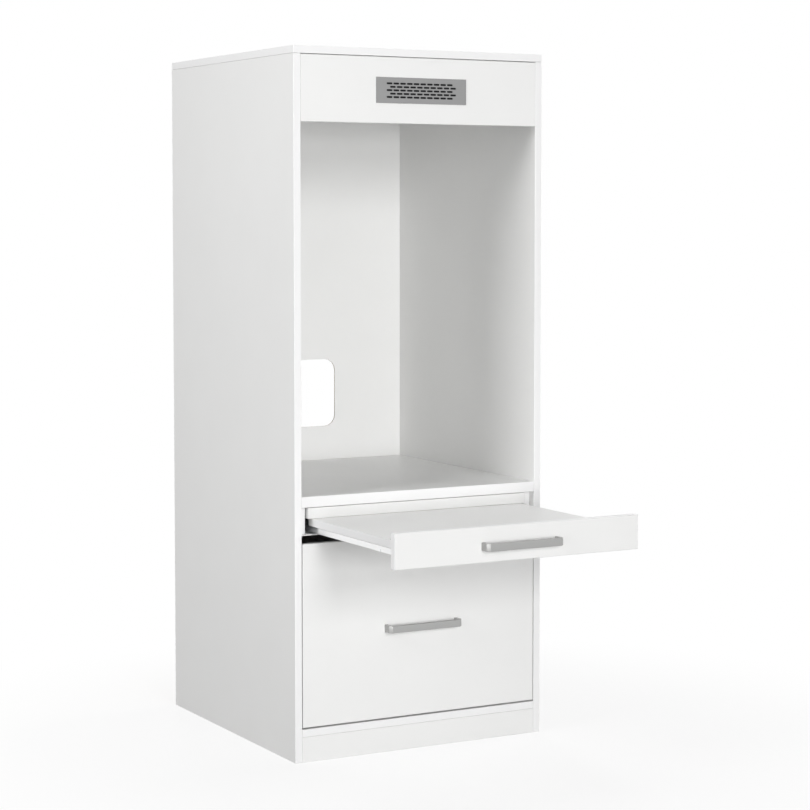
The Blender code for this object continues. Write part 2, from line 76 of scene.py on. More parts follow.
CAD_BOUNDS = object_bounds()
SIDES = (("left", -1), ("right", 1))
MOVERS = ("tray", "drawer")
ROLES = ("cabinet_member", "outer_cage", "middle_member", "inner_cage", "moving_member")
BODIES = ("cabinet", "{}_outer_cages", "{}_slides_middle", "{}_inner_cages", "{}")
BACKWARD, DOWNWARD, UPWARD = (0, 1, 0), (0, 0, -1), (0, 0, 1)

# Points nearer than MERGE are one point, and edges that turn by less than an angle are smooth
MERGE = 1e-6
SMOOTH, HANDLE_SMOOTH = 0.6, 0.9

# Boards: the faces that carry an edge band, then the sawn faces that show their chips
BOARDS = {
    "side_panel_left": ("-y", "+y -z"),
    "side_panel_right": ("-y", "+y -z"),
    "top_panel": ("-y -x +x", "+y"),
    "bottom_panel": ("-y", "+y"),
    "plinth_panel": ("", "-z"),
    "plinth_rail_rear": ("", "-z +z"),
    "appliance_shelf": ("-y", "+y"),
    "shelf_rail_rear": ("", "-z +z"),
    "shelf_batten_left": ("-y", "+y"),
    "shelf_batten_right": ("-y", "+y"),
    "apron_panel": ("-z +z", ""),
    "top_rail_rear": ("-z", ""),
    "tray_board": ("-x +x", "-y"),
    "tray_front": ("-x +x -z +z", ""),
    "tray_rear_rail": ("-x +x +z", "-z"),
    "drawer_front": ("-x +x -z +z", ""),
    "drawer_inner_front": ("+z", "-z"),
    "drawer_side_left": ("+z", "+y -z"),
    "drawer_side_right": ("+z", "+y -z"),
    "drawer_back": ("+z", "-z"),
}

# Hardboards: their lacquered faces
HARDBOARDS = {
    "back_panel_upper": "-y",
    "back_panel_lower": "-y",
    "dust_panel": "-y +z",
    "drawer_bottom": "+z",
}

# Depth of each surface pattern, as a share of its width
DIMPLE, CHIP, FIBRE, STROKE = 1 / 60, 1 / 8, 1 / 60, 1 / 30
WEAVE, SPANGLE, PEEL, DRAW_LINE = 1 / 2, 1 / 400, 1 / 40, 1 / 80

# Refractive index of melamine resin and lacquers, and of polystyrene
RESIN, POLYSTYRENE = 1.5, 1.59

# Roughness of edge bands, sawn chips, bare fibre and lacquer
BAND_ROUGH, SAWN_ROUGH, FIBRE_ROUGH, LACQUER_ROUGH = 0.34, 0.9, 0.72, 0.42

# Worn patches of metal across a cloud, and height of the mesh's waves where its wire ends
WORN, WIRE_EDGE = 3, 0.5
# Flat black is painted shade, standing for the dark space seen through the fly mesh's holes; white
# is the surround
PAINTED_HOLE_SHADE, WHITE = (0, 0, 0, 1), (1, 1, 1, 1)

# Steps across a slotted cell, a plain cell, a margin's cell and the fly mesh
CELL_STEPS, PLAIN_STEPS, MARGIN_STEPS, MESH_STEPS = (8, 4), 4, 2, (24, 6)

# Points from a slot to its cell's rim, round a large, a small and a handle's turn, out along a
# flange, up and round a ball, round a screw, and along a foot
RIM_POINTS, TURN_POINTS, SMALL_POINTS, EASE_POINTS, FLANGE_POINTS = 3, 7, 5, 4, 13
BALL_POINTS, SCREW_POINTS, FOOT_POINTS = (9, 17), 33, 9

# A folded wall's bend in walls, and the width of a ball groove's bell in its depths
FOLD, BELL = 2, 4

# Where a handle's stations lie, as shares of its leg, of half its bar and of its facet
LEG_STATIONS = np.array([1, 0.6, 0.2, 0.03])
BAR_STATIONS = np.array([0.99, 0.8, 0.6, 0.4, 0.2, 0])
FACET_STATIONS = np.array([[0.1], [0.9]])

# A screw's rings as shares of its head's radius, and its dome's fall and fullness
SCREW_RINGS = np.array([0, 0.12, 0.22, 0.32, 0.42, 0.5, 0.56, 0.66, 0.78, 0.88, 0.95, 0.99, 1])
DOME_FALL, DOME_FULLNESS = 0.3, 8

# Where the cross's slope starts, in arms' half widths, and its reach and slope along the radius
ARM_EDGE, CROSS_REACH, CROSS_SLOPE = 1.6, 0.56, 0.06

# Screws of brackets and the drawer's front, as shares of the box of what they hold
PAIR, BRACKET_DEPTH, LEG_DEPTH, LEG_RISE = (0.25, 0.75), 0.45, 0.6, 0.4
FRONT_ACROSS, FRONT_UP = (0.08, 0.92), (0.2, 0.8)

# Lamps: where each hangs, and the width of its square
LAMPS = {
    "low": ((-1.1, -8.8, 1.0), 1.8),
    "high": ((-1.06, -8.5, 3.17), 1.8),
    "side": ((-4.0, -0.6, 2.8), 1.5),
    "corner": ((-3.7, -2.45, 0.4), 0.7),
    "upper": ((-1.9, -0.3, 3.2), 1.0),
    "right": ((4.2, 0.8, 2.2), 1.5),
    "rear": ((1.6, 5.6, 0.9), 1.0),
    "top": ((0.2, 0.8, 4.6), 1.5),
}

# Floor: half its width, where its fade to white starts and ends, and the white share before that
FLOOR_HALF, FADE_START, FADE_END, FLOOR_GLOW = 30.0, 0.6, 1.5, 0.78


def linear(code):
    """Turns an sRGB hex colour into linear red, green and blue."""
    srgb = np.array([int(code[k:k + 2], 16) for k in (0, 2, 4)]) / 255
    return tuple(np.where(srgb <= 0.04045, srgb / 12.92, ((srgb + 0.055) / 1.055) ** 2.4))


def colour(name, description, code):
    """Gives an opaque colour property with its default from a hex code."""
    return FloatVectorProperty(name=name, description=description, subtype="COLOR", size=4,
                               min=0, max=1, default=(*linear(code), 1))


def size(name, description, metres):
    """Gives a length property in metres."""
    return FloatProperty(name=name, description=description, unit="LENGTH", min=0, precision=5,
                         default=metres)


def count(name, description, number):
    """Gives a property for a count."""
    return IntProperty(name=name, description=description, min=1, default=number)


def power(name, description, watts):
    """Gives a property for a lamp's power."""
    return FloatProperty(name=name, description=description, unit="POWER", min=0, default=watts)


class LaundryTowerColours(bpy.types.PropertyGroup):
    """Colours of the cabinet's materials."""

    melamine: colour("Melamine", "White decor paper under clear melamine resin", "F4F4F3")
    melamine_cloud: colour(
        "Melamine cloud", "Where the paper lets the core show a little", "F1F1F0")
    edge_band: colour("Edge band", "White ABS plastic glued round a board's edges", "F6F6F6")
    seam: colour("Glue line", "Line between the edge band and the face", "D4D4D2")
    chip_dark: colour("Dark chips", "Darkest chips in a sawn edge", "7E6141")
    chip_light: colour("Light chips", "Lightest chips in a sawn edge", "D9BF94")
    hardboard_white: colour("Hardboard lacquer", "White lacquer on the hardboard's front", "EFEFEE")
    hardboard_raw: colour("Hardboard fibre", "Bare brown back of the hardboard", "8A6540")
    nickel: colour("Satin nickel", "Plate of the bar handles", "A8A8A7")
    stainless: colour("Stainless steel", "Brushed sheet of the vent grille", "949494")
    zinc: colour("Zinc plate", "Bright zinc on slides, brackets and screws", "D8DADB")
    coat: colour("Powder coat", "White coat on the tray's slides", "FAFAFA")
    ball: colour("Ball steel", "Polished balls", "E2E2E2")
    plastic: colour("White plastic", "Extruded strip between the two backs", "ECECE8")
    wire: colour("Mesh wire", "Blackened wire of the fly mesh behind the grille", "2A2A2C")
    floor: colour("Floor", "Pale studio floor, as the camera sees it", "F8F8F8")
    floor_bounce: colour("Floor bounce", "Colour of the light that the floor throws back", "A2A2A2")


class LaundryTowerSizes(bpy.types.PropertyGroup):
    """Sizes and counts of the fittings and of the surface patterns."""

    band: size("Edge band", "Thickness of the edge band, seen beside a board's face", 0.001)
    seam: size("Glue line", "Width of the glue line beside the edge band", 0.00035)
    raw_depth: size("Raw edge depth", "How far round the corner the chips show", 0.00015)
    pearl: size("Pearl", "Width of the dimples pressed into the melamine", 0.0022)
    cloud: size("Cloud", "Width of the faint clouds in the decor paper", 0.14)
    chip: size("Chip", "Length of the chips in a sawn edge", 0.0032)
    fibre: size("Fibre", "Length of the fibres in the hardboard's back", 0.0024)
    lacquer: size("Lacquer depth", "How far round the corner the lacquer shows", 0.00035)
    brush_length: size("Brush stroke", "Length of a brush stroke on metal", 0.05)
    brush_width: size("Brush spacing", "Spacing of the brush strokes on metal", 0.0009)
    spangle: size("Zinc cloud", "Width of the cloudy patches in zinc plate", 0.007)
    handle_corner: size("Handle corner", "Radius along the handle bar's four edges", 0.0013)
    handle_facet: size("Handle facet", "Cut of the facet where the bar turns into its leg", 0.0065)
    handle_ease: size("Handle ease", "Rounding of the facet's two ends", 0.0012)
    handle_inner_bend: size("Handle inner bend", "Inner radius of the same turn", 0.0025)
    handle_leg: size("Handle leg", "Thickness of the handle's legs", 0.008)
    handle_bar: size("Handle bar", "Thickness of the handle's bar", 0.006)
    slots: count("Slots in a row", "Slots in each row of the grille", 10)
    rows: count("Rows of slots", "Rows of slots in the grille", 5)
    slot_length: size("Slot length", "Length of the grille's slots", 0.0156)
    slot_height: size("Slot height", "Height of the grille's slots", 0.0045)
    slot_pitch: size("Slot pitch", "Distance between slots in a row", 0.0182)
    slot_rise: size("Row pitch", "Distance between rows of slots", 0.008)
    grille_sheet: size("Grille sheet", "Thickness of the grille's sheet", 0.0012)
    grille_edge: size("Grille edge", "Rounding of the grille's edges", 0.00025)
    collar_wall: size("Collar wall", "Thickness of the grille's collar", 0.001)
    mesh_pitch: size("Mesh pitch", "Distance between the fly mesh's wires", 0.0012)
    mesh_wire: size("Mesh wire", "Thickness of the fly mesh, two wires deep", 0.0005)
    mesh_gap: size("Mesh gap", "Gap between the grille's sheet and the mesh", 0.0008)
    mesh_play: size("Mesh play", "Gap between the mesh and the grille's collar", 0.00035)
    slide_bend: size("Slide bend", "Radius of the slide members' rolled corners", 0.0018)
    ball_groove: size("Ball groove", "Depth of the groove that the balls run in", 0.0004)
    hem: size("Hem", "Radius of the turned-in lower edge of the tray's slides", 0.0008)
    clip_place: size("Clip place", "From the front of the tray's slide to its stop clip", 0.085)
    clip_width: size("Clip width", "Width of the stop clip along the slide", 0.004)
    clip_leg: size("Clip leg", "How far the stop clip reaches up the slide's outside", 0.0052)
    clip_bend: size("Clip bend", "Radius of the stop clip's two turns", 0.0004)
    clip_wrap: size("Clip wrap", "How far the stop clip reaches in under the edge", 0.0026)
    clip_steel: size("Clip steel", "Thickness of the stop clip's spring steel", 0.0004)
    tray_steel: size("Tray slide steel", "Thickness of the tray slides' sheet", 0.001)
    drawer_steel: size("Drawer slide steel", "Thickness of the drawer slides' sheet", 0.0012)
    balls: count("Balls in a row", "Balls in each row of a cage", 11)
    tray_ball: size("Tray ball", "Diameter of the tray slides' balls", 0.0016)
    drawer_ball: size("Drawer ball", "Diameter of the drawer slides' balls", 0.003)
    cage_wall: size("Cage wall", "Thickness of the ball cages' sheet", 0.0005)
    cage_lip: size("Cage lip", "How far a cage's strips stop short of its solid", 0.0016)
    member_gap: size("Member gap", "Gap between a cage and the member beside it", 0.0004)
    punch_first: size("First hole", "From a slide's front end to its first hole", 0.035)
    punch_pitch: size("Hole pitch", "Distance between a slide's holes", 0.032)
    punch_radius: size("Hole radius", "Radius of a slide's holes", 0.0023)
    punch_slot: size("Hole slot", "Half the straight part of a slide's slotted holes", 0.002)
    bracket_steel: size("Bracket steel", "Thickness of the steel angles", 0.002)
    screw_radius: size("Screw head radius", "Radius of a pan-head screw's head", 0.0036)
    screw_rise: size("Screw head height", "Height of a pan-head screw's head", 0.0021)
    flat_rise: size("Flat head height", "How far a flat head stands out of its hole", 0.0002)
    shank_radius: size("Screw shank radius", "Radius of a screw's shank", 0.0019)
    shank: size("Screw shank", "Length of shank that is drawn below a head", 0.003)
    recess: size("Screw recess", "Depth of the cross in a screw's head", 0.0012)
    recess_arm: size("Recess arm", "Half width of the cross's arms", 0.0006)


class LaundryTowerStage(bpy.types.PropertyGroup):
    """Camera and lamps."""

    camera_place: FloatVectorProperty(
        name="Camera place", description="Where the camera stands", subtype="TRANSLATION",
        default=(-2.5873, -4.621, 1.2897))
    camera_turn: FloatProperty(
        name="Camera turn", description="Turn of the view from +Y towards +X", subtype="ANGLE",
        default=0.5039)
    camera_tilt: FloatProperty(
        name="Camera tilt", description="How far the view looks down", subtype="ANGLE",
        default=0.0615)
    sensor: FloatProperty(
        name="Sensor", description="Width of the camera's sensor", unit="CAMERA", default=36)
    lens: FloatProperty(
        name="Lens", description="Focal length of the lens", unit="CAMERA", default=98.475)
    rise: FloatProperty(
        name="Lens shift", description="Vertical shift as a share of the frame", default=-0.0691)
    low_power: power("Low lamp", "Far lamp level with the cabinet", 286)
    high_power: power("High lamp", "Far lamp above it", 220)
    side_power: power("Side lamp", "Lamp on the left", 88)
    corner_power: power("Corner lamp", "Low lamp at the left front, for the handles' facets", 12)
    upper_power: power("Upper lamp", "Lamp high on the left", 4)
    right_power: power("Right lamp", "Lamp on the right", 66)
    rear_power: power("Rear lamp", "Lamp behind the cabinet", 130)
    top_power: power("Top lamp", "Lamp overhead", 34)
    ambient: FloatProperty(
        name="Room light", description="Strength of the light from all round", default=0.16)


def palette():
    """The scene's colours."""
    return bpy.context.scene.laundry_tower_colours


def sizes():
    """The scene's sizes and counts."""
    return bpy.context.scene.laundry_tower_sizes


def box(node):
    """Gives a CAD node's lowest and highest corners."""
    return np.array([list(corner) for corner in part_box(node)])


# Materials


def set_sockets(node, sockets):
    """Sets a node's sockets to values, or links them to other nodes' outputs."""
    for name, value in sockets.items():
        if isinstance(value, bpy.types.NodeSocket):
            node.id_data.links.new(value, node.inputs[name])
        else:
            node.inputs[name].default_value = value


def add_node(tree, kind, sockets, out=0, **settings):
    """Adds a node with its settings and links, and gives one of its outputs."""
    node = tree.nodes.new("ShaderNode" + kind)
    for name, value in settings.items():
        setattr(node, name, value)
    set_sockets(node, sockets)
    return node.outputs[out]


def start_material(name):
    """Makes a material. Gives it, its shader, its add_node and the object's own coordinates."""
    material = bpy.data.materials.new(name)
    material.use_nodes = True
    add = partial(add_node, material.node_tree)
    shader = material.node_tree.nodes["Principled BSDF"]
    return material, shader, add, add("TexCoord", {}, "Object")


def face_distance(add, place, node, faces):
    """Gives the distance to the nearest of a node's named faces, such as -y or +z.

    It is the least of the distances to its box's six faces, with the others moved far off.
    """
    low, high = box(node)
    far = np.linalg.norm(high - low)
    from_low = [low[k] - far * ("-" + axis not in faces) for k, axis in enumerate("xyz")]
    from_high = [high[k] + far * ("+" + axis not in faces) for k, axis in enumerate("xyz")]
    above = add("VectorMath", {0: place, 1: from_low}, operation="SUBTRACT")
    below = add("VectorMath", {0: from_high, 1: place}, operation="SUBTRACT")
    least = add("VectorMath", {0: above, 1: below}, operation="MINIMUM")
    x, y, z = add("SeparateXYZ", {0: least}).node.outputs
    pair = add("Math", {0: x, 1: y}, operation="MINIMUM")
    return add("Math", {0: pair, 1: z}, operation="MINIMUM")


def melamine_board(node):
    """Melamine-faced chipboard: a hard satin white with pressed dimples, faintly clouded.

    ABS bands close the edges that show, behind a hairline of glue. Sawn edges show flat chips
    of many browns, as long cells of one tone each, pressed so that their ends show as flecks.
    """
    c, s = palette(), sizes()
    banded, raw = BOARDS[node]
    material, shader, add, place = start_material("melamine_chipboard_" + node)
    cloud = add("TexNoise", {"Vector": place, "Scale": 1 / s.cloud})
    dimples = add("TexNoise", {"Vector": place, "Scale": 1 / s.pearl, "Detail": 1})
    face = add("Mix", {0: cloud, 6: c.melamine, 7: c.melamine_cloud}, 2, data_type="RGBA")
    gloss = add("MapRange", {"Value": cloud, "To Min": 0.36, "To Max": 0.44})
    relief = add("Bump", {"Height": dimples, "Distance": s.pearl * DIMPLE})
    if banded:
        distance = face_distance(add, place, node, banded)
        band = add("Math", {0: distance, 1: s.band}, operation="LESS_THAN")
        seam = add("Math", {0: distance, 1: s.band, 2: s.seam / 2}, operation="COMPARE")
        face = add("Mix", {0: band, 6: face, 7: c.edge_band}, 2, data_type="RGBA")
        face = add("Mix", {0: seam, 6: face, 7: c.seam}, 2, data_type="RGBA")
        gloss = add("Mix", {0: band, 2: gloss, 3: BAND_ROUGH})
    if raw:
        distance = face_distance(add, place, node, raw)
        sawn = add("Math", {0: distance, 1: s.raw_depth}, operation="LESS_THAN")
        swirl = add("TexNoise", {"Vector": place, "Scale": 1 / s.chip}, "Color")
        bent = add("VectorMath", {0: swirl, 1: (s.chip / 2,) * 3, 2: place},
                   operation="MULTIPLY_ADD")
        cells = add("TexVoronoi", {"Vector": bent, "Scale": 1 / s.chip}).node.outputs
        tone = add("SeparateColor", {0: cells["Color"]})
        tint = add("Mix", {0: tone, 6: c.chip_dark, 7: c.chip_light}, 2, data_type="RGBA")
        face = add("Mix", {0: sawn, 6: face, 7: tint}, 2, data_type="RGBA")
        gloss = add("Mix", {0: sawn, 2: gloss, 3: SAWN_ROUGH})
        pits = add("Math", {0: cells["Distance"], 1: sawn}, operation="MULTIPLY")
        relief = add("Bump", {"Height": pits, "Distance": s.chip * CHIP, "Normal": relief})
    set_sockets(shader, {"Base Color": face, "Roughness": gloss, "Normal": relief, "IOR": RESIN})
    return material


def lacquered_hardboard(node, fronts):
    """High-density fibreboard: white lacquer on the faces that show, bare brown fibre behind.

    fronts names the white faces. Everything more than a hair behind them is bare.
    """
    c, s = palette(), sizes()
    material, shader, add, place = start_material("lacquered_hardboard_" + node)
    grain = add("TexNoise", {"Vector": place, "Scale": 1 / s.fibre, "Detail": 4,
                             "Roughness": 0.65})
    cloud = add("TexNoise", {"Vector": place, "Scale": 1 / s.cloud})
    tone = add("MapRange", {"Value": grain, "To Min": 0.72, "To Max": 1.25})
    bare = add("HueSaturation", {"Value": tone, "Color": c.hardboard_raw})
    white = add("Mix", {0: cloud, 6: c.hardboard_white, 7: c.melamine_cloud}, 2,
                data_type="RGBA")
    distance = face_distance(add, place, node, fronts)
    lacquer = add("Math", {0: distance, 1: s.lacquer}, operation="LESS_THAN")
    set_sockets(shader, {
        "Base Color": add("Mix", {0: lacquer, 6: bare, 7: white}, 2, data_type="RGBA"),
        "Roughness": add("Mix", {0: lacquer, 2: FIBRE_ROUGH, 3: LACQUER_ROUGH}),
        "Normal": add("Bump", {"Height": grain, "Distance": s.fibre * FIBRE}),
        "IOR": RESIN})
    return material


def brushed_metal(name, tint, dullest, glossiest):
    """Brushed or satin-plated metal: fine parallel strokes along X that spread the highlights.

    The real strokes are finer.
    """
    s = sizes()
    material, shader, add, place = start_material(name)
    stroke = (1 / s.brush_length, 1 / s.brush_width, 1 / s.brush_width)
    drawn = add("VectorMath", {0: place, 1: stroke}, operation="MULTIPLY")
    strokes = add("TexNoise", {"Vector": drawn, "Scale": 1, "Detail": 4, "Roughness": 0.7})
    worn = add("TexNoise", {"Vector": place, "Scale": WORN / s.cloud})
    tone = add("MapRange", {"Value": strokes, "To Min": 0.93, "To Max": 1.07})
    gloss = add("MapRange", {"Value": strokes, "To Min": glossiest, "To Max": dullest})
    drift = add("MapRange", {"Value": worn, "To Min": -0.03, "To Max": 0.03})
    set_sockets(shader, {
        "Base Color": add("HueSaturation", {"Value": tone, "Color": tint}),
        "Roughness": add("Math", {0: gloss, 1: drift}, operation="ADD"),
        "Normal": add("Bump", {"Height": strokes, "Distance": s.brush_width * STROKE}),
        "Metallic": 1})
    return material


def fly_mesh(name):
    """Plain-woven blackened steel wire: matt, near black, with holes in even rows that are painted
    black as the shade seen through them.

    Each wire is too thin to be modelled, so the weave is a pattern on a thin sheet: two crossed
    sine waves, with a hole where both are high.
    """
    c, s = palette(), sizes()
    material, shader, add, place = start_material(name)
    turned = add("VectorMath", {0: place, 1: (np.pi / s.mesh_pitch,) * 3}, operation="MULTIPLY")
    x, _, z = add("SeparateXYZ", {0: turned}).node.outputs
    across, up = [add("Math", {0: add("Math", {0: way}, operation="SINE")}, operation="ABSOLUTE")
                  for way in (x, z)]
    hole = add("Math", {0: across, 1: up}, operation="MINIMUM")
    wire = add("Math", {0: hole, 1: WIRE_EDGE}, operation="LESS_THAN")
    # The holes get painted shade: flat black stands for the dark space behind the mesh, and the
    # wires keep their own near-black colour
    set_sockets(shader, {
        "Base Color": add("Mix", {0: wire, 6: PAINTED_HOLE_SHADE, 7: c.wire}, 2, data_type="RGBA"),
        "Normal": add("Bump", {"Height": hole, "Distance": -s.mesh_wire * WEAVE}),
        "Roughness": 0.7,
        "Specular IOR Level": 0.2})
    return material


def zinc_plate(name):
    """Bright zinc-plated steel: bluish white, cloudy, with uneven shine."""
    c, s = palette(), sizes()
    material, shader, add, place = start_material(name)
    patches = add("TexNoise", {"Vector": place, "Scale": 1 / s.spangle, "Detail": 3,
                               "Roughness": 0.6})
    tone = add("MapRange", {"Value": patches, "To Min": 0.9, "To Max": 1.06})
    set_sockets(shader, {
        "Base Color": add("HueSaturation", {"Value": tone, "Color": c.zinc}),
        "Roughness": add("MapRange", {"Value": patches, "To Min": 0.26, "To Max": 0.42}),
        "Normal": add("Bump", {"Height": patches, "Distance": s.spangle * SPANGLE}),
        "Metallic": 1})
    return material


def powder_coat(name):
    """White pearl coat on steel: satin and a little metallic, so it mirrors the room at a slant.

    Its fine orange-peel skin is drawn a little coarse.
    """
    c, s = palette(), sizes()
    material, shader, add, place = start_material(name)
    peel = add("TexNoise", {"Vector": place, "Scale": 1 / s.pearl})
    set_sockets(shader, {
        "Base Color": c.coat,
        "Roughness": add("MapRange", {"Value": peel, "To Min": 0.3, "To Max": 0.42}),
        "Normal": add("Bump", {"Height": peel, "Distance": s.pearl * PEEL}),
        "Metallic": 0.6, "IOR": RESIN, "Coat Weight": 0.6, "Coat Roughness": 0.15})
    return material


def ball_steel(name):
    """Hardened steel balls and their cage: mirror-bright with a film of grease."""
    c, s = palette(), sizes()
    material, shader, add, place = start_material(name)
    film = add("TexNoise", {"Vector": place, "Scale": 1 / s.spangle})
    gloss = add("MapRange", {"Value": film, "To Min": 0.12, "To Max": 0.26})
    set_sockets(shader, {"Base Color": c.ball, "Roughness": gloss, "Metallic": 1})
    return material


def extruded_plastic(name):
    """Extruded white polystyrene: smooth, slightly waxy, with faint draw lines along X."""
    c, s = palette(), sizes()
    material, shader, add, place = start_material(name)
    line = (1 / s.cloud, 1 / s.pearl, 1 / s.pearl)
    drawn = add("VectorMath", {0: place, 1: line}, operation="MULTIPLY")
    lines = add("TexNoise", {"Vector": drawn, "Scale": 1})
    set_sockets(shader, {
        "Base Color": c.plastic,
        "Roughness": add("MapRange", {"Value": lines, "To Min": 0.4, "To Max": 0.5}),
        "Normal": add("Bump", {"Height": lines, "Distance": s.pearl * DRAW_LINE}),
        "IOR": POLYSTYRENE})
    return material


def paint(material, *nodes):
    """Gives CAD nodes a material in place of their plain one."""
    for name in nodes:
        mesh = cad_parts[name].data
        mesh.materials.clear()
        mesh.materials.append(material)


# Surfaces


def make_piece(name, grids, material, body, replaced=(), smooth=SMOOTH):
    """Makes a piece of grids of points, each shaped copies, rows, columns and XYZ.

    Four neighbours in a grid span a quad. Seams and poles are points in one place, and are
    merged here. The piece rides on a body.
    """
    points, quads, start = [], [], 0
    for grid in grids:
        rows, columns = grid.shape[-3:-1]
        corner = np.arange(rows * columns).reshape(rows, columns)[:-1, :-1].reshape(-1, 1)
        firsts = np.arange(start, start + grid.size // 3, rows * columns)
        quads.append((firsts[:, None, None] + corner + (0, 1, columns + 1, columns)).reshape(-1, 4))
        points.append(grid.reshape(-1, 3))
        start += grid.size // 3
    mesh = bpy.data.meshes.new(name)
    mesh.from_pydata(np.concatenate(points).tolist(), [], np.concatenate(quads).tolist())
    form = bmesh.new()
    form.from_mesh(mesh)
    bmesh.ops.remove_doubles(form, verts=form.verts, dist=MERGE)
    bmesh.ops.recalc_face_normals(form, faces=form.faces)
    form.to_mesh(mesh)
    form.free()
    mesh.shade_smooth()
    mesh.set_sharp_from_angle(angle=smooth)
    mesh.materials.append(material)
    piece = bpy.data.objects.new(name, mesh)
    bpy.context.scene.collection.objects.link(piece)
    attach(piece, body)
    if replaced:
        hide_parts(*replaced)
    return piece


def thicken(piece, thickness, edge=0.0):
    """Gives a sheet its thickness on both sides of its middle, and rounds its edges."""
    wall = piece.modifiers.new("thickness", "SOLIDIFY")
    wall.thickness = thickness
    wall.offset = 0
    if edge:
        soft = piece.modifiers.new("edges", "BEVEL")
        soft.width = edge
        soft.segments = 2
        soft.limit_method = "ANGLE"
        soft.harden_normals = True


def arc(start, end, number):
    """Gives the cosines and sines of evenly spaced angles, counted in quarter turns."""
    angle = np.linspace(start, end, number) * np.pi / 2
    return np.stack([np.cos(angle), np.sin(angle)], -1)


def upright(flat, y):
    """Stands flat (x, z) points up at y."""
    return np.stack(np.broadcast_arrays(flat[..., 0], y, flat[..., 1]), -1)


def slotted_cells(centres, half, straight, radius):
    """Gives cells of a sheet, each with a round-ended slot, as copies, rings, rim and (a, b).

    The cell's rim is a rectangle in even steps. Each of its points is drawn to the nearest point
    of the slot, which is the slot's centre line moved out by the radius towards the rim.
    """
    along, across = (np.linspace(-1, 1, steps + 1)[:-1] for steps in CELL_STEPS)
    sides = [(along, -np.ones(along.shape)), (np.ones(across.shape), across),
             (-along, np.ones(along.shape)), (-np.ones(across.shape), -across)]
    rim = np.concatenate([np.stack(side, -1) for side in sides]) * half
    rim = np.concatenate([rim, rim[:1]])
    middle = np.stack([np.clip(rim[:, 0], -straight, straight), np.zeros(len(rim))], -1)
    away = rim - middle
    slot = middle + radius * away / np.linalg.norm(away, axis=1, keepdims=True)
    share = np.linspace(0, 1, RIM_POINTS)[:, None, None]
    return np.asarray(centres)[:, None, None] + slot + (rim - slot) * share


def plain_cells(a, b, steps):
    """Gives the plain cells between lines at a and at b, as copies, rows, columns and (a, b)."""
    share = np.stack(np.meshgrid(*(np.linspace(0, 1, n + 1) for n in steps), indexing="ij"), -1)
    low, high = (np.stack(np.meshgrid(*ends, indexing="ij"), -1).reshape(-1, 1, 1, 2)
                 for ends in ((a[:-1], b[:-1]), (a[1:], b[1:])))
    return low + share * (high - low)


def rounded_outline(half, radius, number):
    """Gives closed rounded rectangles, one for each pair of half sizes.

    Each is its four corners' centres, with a quarter turn round every one.
    """
    turn = np.concatenate([arc(k, k + 1, number) for k in range(4)])
    corner = np.repeat([(1, 1), (-1, 1), (-1, -1), (1, -1)], number, 0)
    outline = corner * (half[:, None] - radius) + radius * turn
    return np.concatenate([outline, outline[:, :1]], 1)


# Pieces


class LAUNDRYTOWER_OT_boards(bpy.types.Operator):
    """Give each melamine board its decor, its edge bands and its sawn edges"""

    bl_idname = "laundry_tower.boards"
    bl_label = "Boards"

    def execute(self, context):
        for node in BOARDS:
            paint(melamine_board(node), node)
        return {"FINISHED"}


class LAUNDRYTOWER_OT_hardboards(bpy.types.Operator):
    """Give the backs, the dust panel and the drawer's bottom their lacquer and bare fibre"""

    bl_idname = "laundry_tower.hardboards"
    bl_label = "Hardboards"

    def execute(self, context):
        for node, fronts in HARDBOARDS.items():
            paint(lacquered_hardboard(node, fronts), node)
        paint(extruded_plastic("extruded_polystyrene"), "back_joint_strip")
        return {"FINISHED"}


